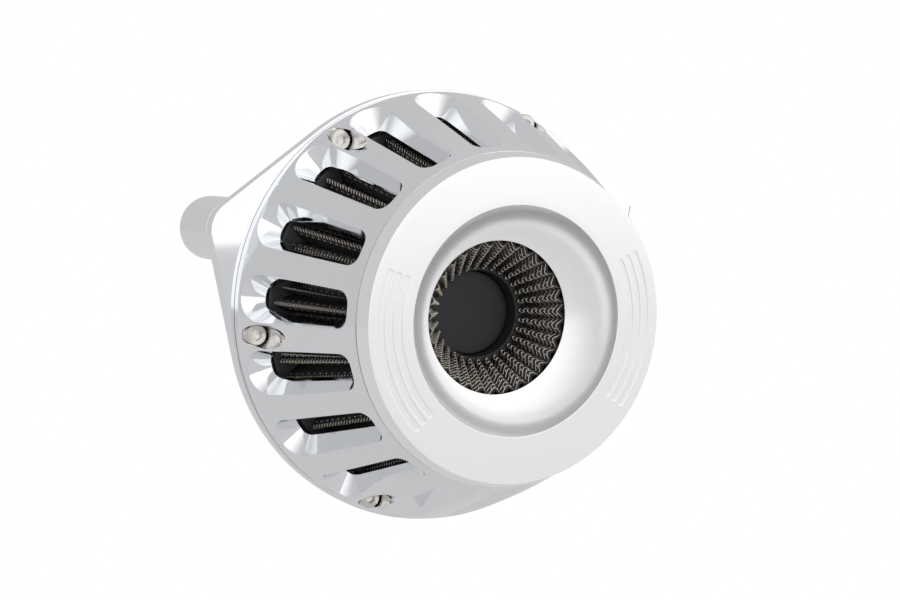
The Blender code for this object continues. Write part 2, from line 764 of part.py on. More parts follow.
def make_groove_tools():
    """Three shallow arcs with round ends on each side of the face ring."""
    form = bmesh.new()
    top = PLATE_FRONT + FACE_HEIGHT
    steps = 9
    upright = math.pi / 2
    for number in range(FACE_GROOVES):
        middle = GROOVE_RADIUS - number * GROOVE_SPACING
        for side in (1, -1):
            start = upright - side * GROOVE_TOP
            end = upright - side * GROOVE_BOTTOM
            outline = arc((0, 0), middle + GROOVE_HALF_WIDTH, start, end, steps)
            cap = polar(middle, end)
            outline += arc(cap, GROOVE_HALF_WIDTH, end, end - side * math.pi, 4)[1:-1]
            outline += arc((0, 0), middle - GROOVE_HALF_WIDTH, end, start, steps)
            cap = polar(middle, start)
            back = start + math.pi
            outline += arc(cap, GROOVE_HALF_WIDTH, back, back - side * math.pi, 4)[1:-1]
            floor = form.faces.new([form.verts.new((x, y, top - GROOVE_DEPTH)) for x, y in outline])
            raised = bmesh.ops.extrude_face_region(form, geom=[floor])["geom"]
            corners = [item for item in raised if isinstance(item, bmesh.types.BMVert)]
            bmesh.ops.translate(form, verts=corners, vec=(0, 0, GROOVE_DEPTH + MM))
    return mesh_item("groove_tools", form)


def make_face_ring():
    front = PLATE_FRONT + FACE_HEIGHT
    inner = mouth_curve(0)
    outer = mouth_curve(MOUTH_WALL)
    hub = SHOULDER_BORE - SLIP_GAP
    lip = PLATE_FRONT + MOUTH_HEIGHT
    hub_back = [point for point in outer if lip < point[1] < FACE_BACK and point[0] < hub]
    profile = [(FACE_RADIUS, front), (SHOULDER_RADIUS, FACE_BACK), (hub, FACE_BACK)]
    profile += hub_back
    profile.append((hub_back[-1][0], lip))
    profile += list(reversed(inner))
    ring = turned("face_ring", profile, SEGMENTS_LARGE)
    high = FACE_BACK + FACE_SCREW_BITE + REST_GAP
    radius = FACE_SCREW_RADIUS + HOLE_GAP
    holes = rods("face_thread_tool", face_screw_centres(), radius, FACE_BACK - MM, high, SEGMENTS_SMALL)
    boolean(ring, make_cutter(holes, COVER_AXIS), "DIFFERENCE")
    boolean(ring, make_cutter(make_groove_tools(), COVER_AXIS), "DIFFERENCE")
    return finish(ring, COVER_AXIS, FACE)


def make_face_screws():
    """Button-headed screws that come up from under the cover's shoulder."""
    seat = PLATE_FRONT + SHOULDER_HEIGHT - SHOULDER_WALL - REST_GAP
    tip = FACE_BACK + FACE_SCREW_BITE
    for number, centre in enumerate(face_screw_centres()):
        profile = [
            (0, tip),
            (FACE_SCREW_RADIUS, tip),
            (FACE_SCREW_RADIUS, seat),
            (FACE_SCREW_HEAD, seat),
            (FACE_SCREW_HEAD, seat - FACE_SCREW_HEAD_HEIGHT / 2),
            (FACE_SCREW_HEAD * 0.7, seat - FACE_SCREW_HEAD_HEIGHT),
            (0, seat - FACE_SCREW_HEAD_HEIGHT),
        ]
        item = turned(f"face_screw_{number + 1}", profile, SEGMENTS_SMALL, closed=False)
        item.location = centre
        finish(item, COVER_AXIS, STEEL)


make_backplate()
make_gasket()
make_throttle_screws()
for side, centre in zip(("right", "left"), post_centres()):
    make_post(side, centre)
make_element()
make_cover()
make_cover_screws()
make_face_ring()
make_face_screws()
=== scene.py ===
# %% [markdown]
# # A slotted motorcycle air filter
# The real thing is a pleated element held between a lobed backplate and a slotted cover, all of it
# chromed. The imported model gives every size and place. This lesson remakes its visible pieces with
# fine meshes and gives each one a finish.

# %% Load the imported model
import math

import bmesh
import bpy
from mathutils import Matrix, Vector


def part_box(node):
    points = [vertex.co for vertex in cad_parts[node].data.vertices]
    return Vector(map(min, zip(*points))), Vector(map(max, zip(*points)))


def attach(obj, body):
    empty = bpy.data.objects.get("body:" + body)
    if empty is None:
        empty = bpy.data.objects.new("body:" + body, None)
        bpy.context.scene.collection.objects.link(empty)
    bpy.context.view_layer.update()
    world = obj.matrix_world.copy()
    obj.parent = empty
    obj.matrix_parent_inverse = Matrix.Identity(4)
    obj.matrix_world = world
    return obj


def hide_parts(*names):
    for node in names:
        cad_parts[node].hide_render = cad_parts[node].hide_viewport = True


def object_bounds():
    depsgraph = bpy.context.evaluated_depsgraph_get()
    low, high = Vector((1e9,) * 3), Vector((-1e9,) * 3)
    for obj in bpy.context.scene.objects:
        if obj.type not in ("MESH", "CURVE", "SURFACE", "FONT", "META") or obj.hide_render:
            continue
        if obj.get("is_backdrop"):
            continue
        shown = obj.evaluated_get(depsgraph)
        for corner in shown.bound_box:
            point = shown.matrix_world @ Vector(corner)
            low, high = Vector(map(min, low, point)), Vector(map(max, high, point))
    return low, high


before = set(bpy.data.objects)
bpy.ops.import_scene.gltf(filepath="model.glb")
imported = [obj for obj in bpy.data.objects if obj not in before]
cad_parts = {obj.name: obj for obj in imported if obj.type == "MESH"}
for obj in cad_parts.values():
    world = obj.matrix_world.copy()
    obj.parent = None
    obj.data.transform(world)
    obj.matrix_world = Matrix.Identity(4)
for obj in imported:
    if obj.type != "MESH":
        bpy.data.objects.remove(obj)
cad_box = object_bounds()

MM = 0.001
TO_ROW = Matrix.Rotation(math.radians(90), 4, "X")
print("nodes:", len(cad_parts))

# %% [markdown]
# ## Sizes from the frame
# Every piece is round about the filter's axis, so it is modelled with that axis as local +Z, the
# front up, and turned to -Y at the end. A node's box then gives two levels along the axis and a
# radius, and only what a box can't show is named here.


# %% Levels and radii
def levels(node):
    """Where a node starts and ends along the axis, from back to front."""
    low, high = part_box(node)
    return -high.y, -low.y


def reach(node):
    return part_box(node)[1].x


def middle(node):
    """A node's place off the axis, in the local plane."""
    low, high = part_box(node)
    return Vector(((low.x + high.x) / 2, (low.z + high.z) / 2, 0))


REST_GAP = 0.3 * MM
COVER_BACK, SHOULDER = levels("slotted_cover")
PLATE_FRONT = COVER_BACK - REST_GAP
FACE_FRONT = levels("face_ring")[1]
MOUTH_LIP = levels("face_ring")[0]
RIM_RADIUS = reach("slotted_cover")
print("cover levels mm:", round(COVER_BACK / MM, 2), round(SHOULDER / MM, 2))

# %% [markdown]
# ## Helpers for the meshes
# A turned piece is a profile spun about the axis. `grow` extrudes a ring of edges and carries each
# new point to its next place, which is how the slot walls are made. `clean_mesh` turns a finished
# bmesh to the front, and `settle` gives the piece its finish and hangs it on what it rides on.


# %% Turning and growing
def polar(radius, angle, height=0.0):
    return Vector((radius * math.cos(angle), radius * math.sin(angle), height))


def spun(form, profile, steps, closed=True):
    """Spin a profile of (radius, height) points about the axis, into a form that may hold more."""
    verts = [form.verts.new((radius, 0, height)) for radius, height in profile]
    ends = verts[1:] + verts[:1] if closed else verts[1:]
    edges = [form.edges.new(pair) for pair in zip(verts, ends)]
    bmesh.ops.spin(
        form,
        geom=verts + edges,
        axis=(0, 0, 1),
        cent=(0, 0, 0),
        angle=math.tau,
        steps=steps,
        use_merge=True,
    )


def ring_edges(form, places):
    """A closed ring of edges through these places."""
    verts = [form.verts.new(place) for place in places]
    return [form.edges.new((verts[i - 1], verts[i])) for i in range(len(verts))]


def grow(form, edges, start, goal):
    """Extrude a ring of edges at the start places and move the copy to the goal places."""
    raised = bmesh.ops.extrude_edge_only(form, edges=edges)["geom"]
    verts = {item for item in raised if isinstance(item, bmesh.types.BMVert)}
    for vert in verts:
        nearest = min(range(len(start)), key=lambda i: (start[i] - vert.co).length_squared)
        vert.co = goal[nearest]
    rim = {edge for vert in verts for edge in vert.link_edges}
    return [edge for edge in rim if edge.verts[0] in verts and edge.verts[1] in verts]


def add_rod(form, centre, radius, low, high, segments):
    place = Matrix.Translation((centre.x, centre.y, (low + high) / 2))
    bmesh.ops.create_cone(
        form,
        cap_ends=True,
        segments=segments,
        radius1=radius,
        radius2=radius,
        depth=high - low,
        matrix=place,
    )


# %% Settling a piece
def link(name, mesh):
    item = bpy.data.objects.new(name, mesh)
    bpy.context.scene.collection.objects.link(item)
    return item


def clean_mesh(form, name):
    """Merge doubles, point the faces outwards and make a mesh of the form, turned to the front."""
    bmesh.ops.remove_doubles(form, verts=form.verts, dist=0.004 * MM)
    bmesh.ops.transform(form, matrix=TO_ROW, verts=form.verts)
    bmesh.ops.recalc_face_normals(form, faces=form.faces)
    if form.calc_volume(signed=True) < 0:
        bmesh.ops.reverse_faces(form, faces=form.faces)
    mesh = bpy.data.meshes.new(name)
    form.to_mesh(mesh)
    form.free()
    mesh.shade_smooth()
    return mesh


def cut(item, form, name, operation="DIFFERENCE"):
    """Cut or join a form to a piece and keep the result as the piece's own mesh."""
    tool = link(name, clean_mesh(form, name))
    step = item.modifiers.new(name, "BOOLEAN")
    step.operation = operation
    step.solver = "EXACT"
    step.object = tool
    bpy.context.view_layer.update()
    graph = bpy.context.evaluated_depsgraph_get()
    result = bpy.data.meshes.new_from_object(item.evaluated_get(graph))
    item.modifiers.clear()
    item.data = result
    result.shade_smooth()
    bpy.data.objects.remove(tool, do_unlink=True)


def soften(item, width, segments=2, angle=30):
    """Round every edge sharper than an angle, and keep the flats flat."""
    bevel = item.modifiers.new("Edges", "BEVEL")
    bevel.width = width
    bevel.segments = segments
    bevel.profile = 0.5
    bevel.limit_method = "ANGLE"
    bevel.angle_limit = math.radians(angle)
    bevel.use_clamp_overlap = False
    weigh = item.modifiers.new("Flats", "WEIGHTED_NORMAL")
    weigh.weight = 90
    weigh.keep_sharp = True


def settle(item, body, slot, look, *nodes):
    """Give a piece its finish, hang it on what it rides on, and hide the nodes it stands for."""
    item.data.materials.clear()
    item.data.materials.append(look)
    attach(item, body)
    if nodes:
        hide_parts(*nodes)
    print(item.name, "made of", len(item.data.polygons), "faces")
    return item


# %% [markdown]
# ## Finishes
# Chrome is a mirror, so most of its look comes from what stands round it. What keeps it from being
# computer-perfect are faint smudges, which blur the mirror here and there, and fine turning marks
# on faces that came off a lathe. Both are node groups, so each metal sets its own amounts.


# %% Node helpers
def new_group(name, inputs, outputs):
    group = bpy.data.node_groups.new(name, "ShaderNodeTree")
    for label, kind, value in inputs:
        made = group.interface.new_socket(label, in_out="INPUT", socket_type=kind)
        made.default_value = value
    for label, kind in outputs:
        group.interface.new_socket(label, in_out="OUTPUT", socket_type=kind)
    start = group.nodes.new("NodeGroupInput")
    end = group.nodes.new("NodeGroupOutput")
    return group, start, end


def new_finish(name, colour, roughness, metallic):
    made = bpy.data.materials.new(name)
    made.use_nodes = True
    shader = made.node_tree.nodes["Principled BSDF"]
    shader.inputs["Base Color"].default_value = (*colour, 1)
    shader.inputs["Roughness"].default_value = roughness
    shader.inputs["Metallic"].default_value = metallic
    return made, shader


def add_group(material, group, **values):
    node = material.node_tree.nodes.new("ShaderNodeGroup")
    node.node_tree = group
    for label, value in values.items():
        node.inputs[label].default_value = value
    return node


# %% Smudges
def make_smudges():
    """Soft patches where a polished face has been handled: slightly duller and rougher."""
    inputs = [
        ("Colour", "NodeSocketColor", (0.8, 0.8, 0.8, 1)),
        ("Roughness", "NodeSocketFloat", 0.1),
        ("Amount", "NodeSocketFloat", 0.05),
        ("Scale", "NodeSocketFloat", 60),
    ]
    outputs = [("Colour", "NodeSocketColor"), ("Roughness", "NodeSocketFloat")]
    group, start, end = new_group("smudges", inputs, outputs)
    nodes, links = group.nodes, group.links
    place = nodes.new("ShaderNodeTexCoord")
    noise = nodes.new("ShaderNodeTexNoise")
    noise.inputs["Detail"].default_value = 6
    noise.inputs["Roughness"].default_value = 0.6
    links.new(place.outputs["Object"], noise.inputs["Vector"])
    links.new(start.outputs["Scale"], noise.inputs["Scale"])
    patch = nodes.new("ShaderNodeMapRange")
    patch.inputs["From Min"].default_value = 0.45
    patch.inputs["From Max"].default_value = 0.75
    links.new(noise.outputs["Fac"], patch.inputs["Value"])
    rougher = nodes.new("ShaderNodeMath")
    rougher.operation = "MULTIPLY_ADD"
    links.new(patch.outputs["Result"], rougher.inputs[0])
    links.new(start.outputs["Amount"], rougher.inputs[1])
    links.new(start.outputs["Roughness"], rougher.inputs[2])
    links.new(rougher.outputs["Value"], end.inputs["Roughness"])
    share = nodes.new("ShaderNodeMath")
    share.operation = "MULTIPLY"
    links.new(patch.outputs["Result"], share.inputs[0])
    links.new(start.outputs["Amount"], share.inputs[1])
    mix = nodes.new("ShaderNodeMix")
    mix.data_type = "RGBA"
    mix.blend_type = "MULTIPLY"
    mix.inputs["B"].default_value = (0.7, 0.72, 0.75, 1)
    links.new(share.outputs["Value"], mix.inputs["Factor"])
    links.new(start.outputs["Colour"], mix.inputs["A"])
    links.new(mix.outputs["Result"], end.inputs["Colour"])
    return group


# %% Turning marks
def make_turning_marks():
    """Fine rings about the filter's axis, as a tool leaves them on a turned face."""
    inputs = [("Spacing", "NodeSocketFloat", 0.4 * MM), ("Depth", "NodeSocketFloat", 0.5)]
    group, start, end = new_group("turning_marks", inputs, [("Height", "NodeSocketFloat")])
    nodes, links = group.nodes, group.links
    place = nodes.new("ShaderNodeTexCoord")
    split = nodes.new("ShaderNodeSeparateXYZ")
    links.new(place.outputs["Object"], split.inputs["Vector"])
    across = nodes.new("ShaderNodeCombineXYZ")
    links.new(split.outputs["X"], across.inputs["X"])
    links.new(split.outputs["Z"], across.inputs["Y"])
    radius = nodes.new("ShaderNodeVectorMath")
    radius.operation = "LENGTH"
    links.new(across.outputs["Vector"], radius.inputs[0])
    rings = nodes.new("ShaderNodeMath")
    rings.operation = "DIVIDE"
    links.new(radius.outputs["Value"], rings.inputs[0])
    links.new(start.outputs["Spacing"], rings.inputs[1])
    noise = nodes.new("ShaderNodeTexNoise")
    noise.noise_dimensions = "1D"
    noise.inputs["Scale"].default_value = 1
    noise.inputs["Detail"].default_value = 3
    links.new(rings.outputs["Value"], noise.inputs["W"])
    level = nodes.new("ShaderNodeMath")
    level.operation = "MULTIPLY"
    links.new(noise.outputs["Fac"], level.inputs[0])
    links.new(start.outputs["Depth"], level.inputs[1])
    links.new(level.outputs["Value"], end.inputs["Height"])
    return group


SMUDGES = make_smudges()
TURNING_MARKS = make_turning_marks()


# %% Metals
def metal(name, colour, roughness, smudge, scale, turned=0.0, spacing=0.4 * MM, metallic=1.0):
    made, shader = new_finish(name, colour, roughness, metallic)
    links = made.node_tree.links
    values = {"Colour": (*colour, 1), "Roughness": roughness, "Amount": smudge, "Scale": scale}
    handled = add_group(made, SMUDGES, **values)
    links.new(handled.outputs["Colour"], shader.inputs["Base Color"])
    links.new(handled.outputs["Roughness"], shader.inputs["Roughness"])
    if turned:
        marks = add_group(made, TURNING_MARKS, Spacing=spacing, Depth=1.0)
        bump = made.node_tree.nodes.new("ShaderNodeBump")
        bump.inputs["Strength"].default_value = turned
        bump.inputs["Distance"].default_value = 0.01 * MM
        links.new(marks.outputs["Height"], bump.inputs["Height"])
        links.new(bump.outputs["Normal"], shader.inputs["Normal"])
    return made


def brighten_edge(made, radius, roughness):
    """Polish what lies outside a radius about the filter's axis to a full mirror."""
    nodes, links = made.node_tree.nodes, made.node_tree.links
    shader = next(node for node in nodes if node.bl_idname == "ShaderNodeBsdfPrincipled")
    place = nodes.new("ShaderNodeTexCoord")
    flat = nodes.new("ShaderNodeVectorMath")
    flat.operation = "MULTIPLY"
    flat.inputs[1].default_value = (1, 0, 1)
    links.new(place.outputs["Object"], flat.inputs[0])
    away = nodes.new("ShaderNodeVectorMath")
    away.operation = "LENGTH"
    links.new(flat.outputs["Vector"], away.inputs[0])
    edge = nodes.new("ShaderNodeMath")
    edge.operation = "GREATER_THAN"
    edge.inputs[1].default_value = radius
    links.new(away.outputs["Value"], edge.inputs[0])
    for name, bright in (("Metallic", 1.0), ("Roughness", roughness)):
        blend = nodes.new("ShaderNodeMix")
        blend.inputs["B"].default_value = bright
        blend.inputs["A"].default_value = shader.inputs[name].default_value
        if shader.inputs[name].is_linked:
            links.new(shader.inputs[name].links[0].from_socket, blend.inputs["A"])
        links.new(edge.outputs["Value"], blend.inputs["Factor"])
        links.new(blend.outputs["Result"], shader.inputs[name])


CHROME = metal("chrome_plate", (0.86, 0.87, 0.89), 0.045, 0.05, 45)
FACE_CHROME = metal("turned_chrome", (0.96, 0.96, 0.965), 0.22, 0.02, 45, turned=0.06, metallic=0.5)
brighten_edge(FACE_CHROME, 62.15 * MM, 0.05)
STAINLESS = metal("stainless", (0.66, 0.63, 0.59), 0.20, 0.12, 300)
ZINC = metal("zinc_plate", (0.55, 0.55, 0.57), 0.32, 0.15, 250)
WIRE = metal("screen_wire", (0.74, 0.68, 0.60), 0.36, 0.2, 420)


# %% [markdown]
# ## Soft and moulded finishes
# The gauze between the wires is oiled cotton, nearly black, with a fine weave. The moulded rings
# are cast urethane with a slightly pebbled skin, and the seals are plain rubber.


# %% Gauze, urethane, rubber and the dark disc
def grained(name, colour, lighter, roughness, scale, depth):
    """A dull finish whose grain changes its colour a little and stands out as relief."""
    made, shader = new_finish(name, colour, roughness, 0)
    nodes, links = made.node_tree.nodes, made.node_tree.links
    place = nodes.new("ShaderNodeTexCoord")
    noise = nodes.new("ShaderNodeTexNoise")
    noise.inputs["Scale"].default_value = scale
    noise.inputs["Detail"].default_value = 5
    links.new(place.outputs["Object"], noise.inputs["Vector"])
    blend = nodes.new("ShaderNodeMix")
    blend.data_type = "RGBA"
    blend.inputs["A"].default_value = (*colour, 1)
    blend.inputs["B"].default_value = (*lighter, 1)
    links.new(noise.outputs["Fac"], blend.inputs["Factor"])
    links.new(blend.outputs["Result"], shader.inputs["Base Color"])
    bump = nodes.new("ShaderNodeBump")
    bump.inputs["Strength"].default_value = 0.4
    bump.inputs["Distance"].default_value = depth
    links.new(noise.outputs["Fac"], bump.inputs["Height"])
    links.new(bump.outputs["Normal"], shader.inputs["Normal"])
    return made


GAUZE = grained("oiled_gauze", (0.006, 0.006, 0.006), (0.03, 0.028, 0.026), 0.75, 2500, 0.1 * MM)
URETHANE = grained("urethane", (0.03, 0.032, 0.036), (0.055, 0.057, 0.062), 0.42, 1500, 0.03 * MM)
RUBBER = grained("rubber", (0.012, 0.012, 0.013), (0.024, 0.024, 0.025), 0.6, 1800, 0.03 * MM)
DISC = grained("dark_disc", (0.007, 0.0075, 0.011), (0.011, 0.0115, 0.016), 0.5, 900, 0.004 * MM)

# %% [markdown]
# ## The slotted cover
# The cover is a cone cut from solid, 8 mm thick, with eighteen slots milled square to its flank by
# a tapered cutter. A Boolean would leave long thin faces that a mirror finish shows up, so one
# sector is grown instead: a ring round the slot spreads out to the sector's edge over the flank,
# and down through the wall to the inside. Eighteen copies then close the circle.

# %% Cover sizes
COVER_TURN = math.radians(2.5)
RIM_HEIGHT = 4.2 * MM
RIM_INNER = 78.4 * MM
FLANGE_HEIGHT = 8 * MM
SHOULDER_RADIUS = 64.4 * MM
SHOULDER_WALL = 4 * MM
SHOULDER_INNER = 59.5 * MM
SHOULDER_BORE = 46.5 * MM
FLANK_SWELL = 0.8 * MM
SLOTS = 18
SLOT_BACK_RADIUS = 88.4 * MM
SLOT_FRONT_RADIUS = 66.2 * MM
SLOT_BACK_HALF = 9.3 * MM
SLOT_FRONT_HALF = 7.3 * MM
SLOT_CORNER = 5 * MM
SLOT_DRAFT = math.tan(math.radians(30))
FLANK_LOW = PLATE_FRONT + RIM_HEIGHT
SECTOR = math.tau / SLOTS
HALF_RING = 40
CORNER_STEP = 5
AROUND = SLOTS * 2 * CORNER_STEP


def mix(a, b, share):
    return a + (b - a) * share


def flank_radius(height):
    """The cover's slightly swollen outside."""
    share = (height - FLANK_LOW) / (SHOULDER - FLANK_LOW)
    return mix(RIM_RADIUS, SHOULDER_RADIUS, share) + 4 * FLANK_SWELL * share * (1 - share)


def inner_radius(height):
    """The cover's inside: a straight bore in the flange, then a cone."""
    flange = PLATE_FRONT + FLANGE_HEIGHT
    share = (height - flange) / (SHOULDER - SHOULDER_WALL - flange)
    return mix(RIM_INNER, SHOULDER_INNER, max(share, 0))


# %% The slot's outline
def flank_point(radius):
    share = (RIM_RADIUS - radius) / (RIM_RADIUS - SHOULDER_RADIUS)
    return Vector((radius, 0, mix(FLANK_LOW, SHOULDER, share)))


BACK_END = flank_point(SLOT_BACK_RADIUS)
FRONT_END = flank_point(SLOT_FRONT_RADIUS)
SLOT_LENGTH = (FRONT_END - BACK_END).length
ALONG = (FRONT_END - BACK_END).normalized()
ACROSS = Vector((0, 1, 0))
OUTWARDS = ACROSS.cross(ALONG)


def slot_edge(share, inset):
    """Half the outline, from the middle of its round back to the middle of its front."""
    quarter = math.pi / 2
    straight = SLOT_LENGTH - SLOT_BACK_HALF - SLOT_CORNER
    end = SLOT_FRONT_HALF - SLOT_CORNER
    runs = [SLOT_BACK_HALF * quarter, straight, SLOT_CORNER * quarter, end]
    way = share * sum(runs)
    run = 0
    while run < 3 and way > runs[run]:
        way -= runs[run]
        run += 1
    part = min(way / runs[run], 1)
    back = SLOT_BACK_HALF - inset
    front = SLOT_FRONT_HALF - inset
    corner = max(SLOT_CORNER - inset, front / 3)
    start = SLOT_BACK_HALF - SLOT_LENGTH / 2
    end = SLOT_LENGTH / 2 - inset
    if run == 0:
        return start - back * math.cos(part * quarter), back * math.sin(part * quarter)
    if run == 1:
        return mix(start, end - corner, part), mix(back, front, part)
    if run == 2:
        turn = part * quarter
        return end - corner + corner * math.sin(turn), front - corner + corner * math.cos(turn)
    return end, (front - corner) * (1 - part)


def slot_place(share, side, lift):
    x, y = slot_edge(share, -lift * SLOT_DRAFT)
    return (BACK_END + FRONT_END) / 2 + ALONG * x + ACROSS * y * side + OUTWARDS * lift


def meeting(share, side, surface):
    """Where the tapered cutter's side meets a surface, found by halving."""
    low, high = -14 * MM, 4 * MM
    for _ in range(26):
        lift = (low + high) / 2
        place = slot_place(share, side, lift)
        if math.hypot(place.x, place.y) > surface(place.z):
            high = lift
        else:
            low = lift
    return slot_place(share, side, (low + high) / 2)


# %% Rings round one slot
STEPS = [(step / HALF_RING, 1) for step in range(HALF_RING)]
STEPS += [(1 - step / HALF_RING, -1) for step in range(HALF_RING)]


def sector_edge(low, high):
    """The sector's outline as (angle, height), in step with the slot's."""
    places = []
    for share, side in STEPS:
        step = round(share * HALF_RING)
        last = HALF_RING - CORNER_STEP
        if step <= CORNER_STEP:
            place = (side * step / CORNER_STEP, 0)
        elif step <= last:
            place = (side, (step - CORNER_STEP) / (last - CORNER_STEP))
        else:
            place = (side * (HALF_RING - step) / CORNER_STEP, 1)
        places.append((place[0] * SECTOR / 2, mix(low, high, place[1])))
    return places


def spread(ring, edge, surface, share):
    """A ring part of the way from the slot to the sector's edge, on a surface."""
    places = []
    for place, (angle, height) in zip(ring, edge):
        turn = mix(math.atan2(place.y, place.x), angle, share)
        level = mix(place.z, height, share)
        places.append(polar(surface(level), turn, level))
    return places


MOUTH = [meeting(share, side, flank_radius) for share, side in STEPS]
INSIDE = [meeting(share, side, inner_radius) for share, side in STEPS]
OUTER_EDGE = sector_edge(FLANK_LOW, SHOULDER)
INNER_EDGE = sector_edge(COVER_BACK, SHOULDER - SHOULDER_WALL)
print("slot mouth:", len(MOUTH), "points, wall", round((MOUTH[0] - INSIDE[0]).length / MM, 1), "mm")


# %% Grow the cover
def make_cover():
    form = bmesh.new()
    rings = [spread(INSIDE, INNER_EDGE, inner_radius, share) for share in (1, 0.5, 0.12)]
    rings += [INSIDE]
    rings += [[mix(a, b, share) for a, b in zip(INSIDE, MOUTH)] for share in (0.06, 0.5, 0.94)]
    rings += [MOUTH]
    rings += [spread(MOUTH, OUTER_EDGE, flank_radius, share) for share in (0.08, 0.3, 0.55, 0.8, 1)]
    edges = ring_edges(form, rings[0])
    for start, goal in zip(rings, rings[1:]):
        edges = grow(form, edges, start, goal)
    lips = [edge for edge in form.edges if is_on(edge, MOUTH) or is_on(edge, INSIDE)]
    bmesh.ops.bevel(
        form,
        geom=lips,
        offset=0.3 * MM,
        offset_type="OFFSET",
        segments=3,
        profile=0.5,
        affect="EDGES",
        material=-1,
    )
    geometry = form.verts[:] + form.edges[:] + form.faces[:]
    angle = math.tau - SECTOR
    axis = (0, 0, 1)
    bmesh.ops.spin(
        form,
        geom=geometry,
        axis=axis,
        cent=(0, 0, 0),
        angle=angle,
        steps=SLOTS - 1,
        use_duplicate=True,
    )
    start = Matrix.Rotation(-SECTOR / 2, 4, "Z")
    closing = bmesh.new()
    rim = [(RIM_RADIUS, FLANK_LOW), (RIM_RADIUS, COVER_BACK), (RIM_INNER, COVER_BACK)]
    top = SHOULDER - SHOULDER_WALL
    shoulder = [(SHOULDER_INNER, top), (SHOULDER_BORE, top), (SHOULDER_BORE, SHOULDER)]
    shoulder.append((SHOULDER_RADIUS, SHOULDER))
    spun(closing, rim, AROUND, closed=False)
    spun(closing, shoulder, AROUND, closed=False)
    bmesh.ops.transform(closing, matrix=start, verts=closing.verts)
    patch = bpy.data.meshes.new("closing")
    closing.to_mesh(patch)
    closing.free()
    form.from_mesh(patch)
    bpy.data.meshes.remove(patch)
    bmesh.ops.rotate(
        form,
        cent=(0, 0, 0),
        matrix=Matrix.Rotation(COVER_TURN + SECTOR / 2, 3, "Z"),
        verts=form.verts,
    )
    return link("milled_cover", clean_mesh(form, "milled_cover"))


def is_on(edge, ring):
    """Whether both ends of an edge are points of a ring."""
    return all(min((vert.co - place).length for place in ring) < 0.001 * MM for vert in edge.verts)


cover = make_cover()
print("cover faces:", len(cover.data.polygons))

# %% [markdown]
# Six screws go down through the flange in round pockets, and four small ones come up through the
# shoulder. These few holes are cut with a Boolean, because their edges cross the sectors.

# %% Drill the cover
COVER_SCREWS = [f"cover_screw_{number + 1}" for number in range(6)]
FACE_SCREWS = [f"face_screw_{number + 1}" for number in range(4)]
SCREW_HEAD = 4.25 * MM
SCREW_HEIGHT = 5 * MM
POCKET_RADIUS = 4.7 * MM
SEAT = levels("cover_screw_1")[1] - SCREW_HEIGHT
pockets = bmesh.new()
for node in COVER_SCREWS:
    add_rod(pockets, middle(node), POCKET_RADIUS, SEAT - REST_GAP, SHOULDER, 48)
cut(cover, pockets, "pockets")
drills = bmesh.new()
for node in COVER_SCREWS:
    add_rod(drills, middle(node), 2.8 * MM, COVER_BACK - MM, SEAT, 24)
for node in FACE_SCREWS:
    add_rod(drills, middle(node), 1.8 * MM, SHOULDER - SHOULDER_WALL - MM, SHOULDER + MM, 24)
cut(cover, drills, "drills")
cover.data.set_sharp_from_angle(angle=math.radians(40))
weigh = cover.modifiers.new("Flats", "WEIGHTED_NORMAL")
weigh.weight = 90
weigh.keep_sharp = True
settle(cover, "cover", "chrome", CHROME, "slotted_cover")

# %% [markdown]
# ## The face ring
# A separate turned ring closes the front. Its flat face rolls over into a mouth that leads air to
# the sunken cone, and three shallow grooves run down each side of it.

# %% Face ring sizes
FACE_RADIUS = 62.3 * MM
FACE_DISH = 44.1 * MM
MOUTH_RADIUS = 29.9 * MM
MOUTH_WALL = 2.4 * MM
MOUTH_STEEP = math.radians(75)
GROOVE_RADII = [56.9 * MM, 53.35 * MM, 49.8 * MM]
GROOVE_HALF = 1.2 * MM
GROOVE_DEPTH = 0.5 * MM
GROOVE_TOP = math.radians(66.9)
GROOVE_BOTTOM = math.radians(128.9)
FACE_BACK = SHOULDER + REST_GAP


def mouth_curve(offset, steps=24):
    """Points down the dished mouth, an arc from the face to the sunken rim, or its offset."""
    wide = FACE_DISH - MOUTH_RADIUS
    deep = FACE_FRONT - MOUTH_LIP
    half_turn = MOUTH_STEEP - math.atan2(deep, wide)
    size = math.hypot(wide, deep) / (2 * math.sin(half_turn))
    points = []
    for step in range(steps + 1):
        slope = MOUTH_STEEP - 2 * half_turn * step / steps
        radius = FACE_DISH - size * (math.sin(MOUTH_STEEP) - math.sin(slope))
        height = FACE_FRONT - size * (math.cos(slope) - math.cos(MOUTH_STEEP))
        points.append((radius + offset * math.sin(slope), height - offset * math.cos(slope)))
    return points


# %% Turn the face ring and cut its grooves
def make_face_ring():
    hub = SHOULDER_BORE - 0.5 * MM
    flat = [(GROOVE_RADII[0] + 2 * MM, FACE_FRONT), (GROOVE_RADII[2] - 2 * MM, FACE_FRONT)]
    back = mouth_curve(MOUTH_WALL)
    outer = [point for point in back if MOUTH_LIP < point[1] < FACE_BACK and point[0] < hub]
    outer.append((outer[-1][0], MOUTH_LIP))
    edge = 0.25 * MM
    profile = [(FACE_RADIUS - edge, FACE_FRONT), (FACE_RADIUS, FACE_FRONT - edge)]
    profile += [(SHOULDER_RADIUS - edge / 3, FACE_BACK + edge), (SHOULDER_RADIUS - edge, FACE_BACK)]
    profile += [(hub, FACE_BACK)] + outer + list(reversed(mouth_curve(0))) + list(reversed(flat))
    form = bmesh.new()
    spun(form, profile, 240)
    return link("turned_face", clean_mesh(form, "turned_face"))


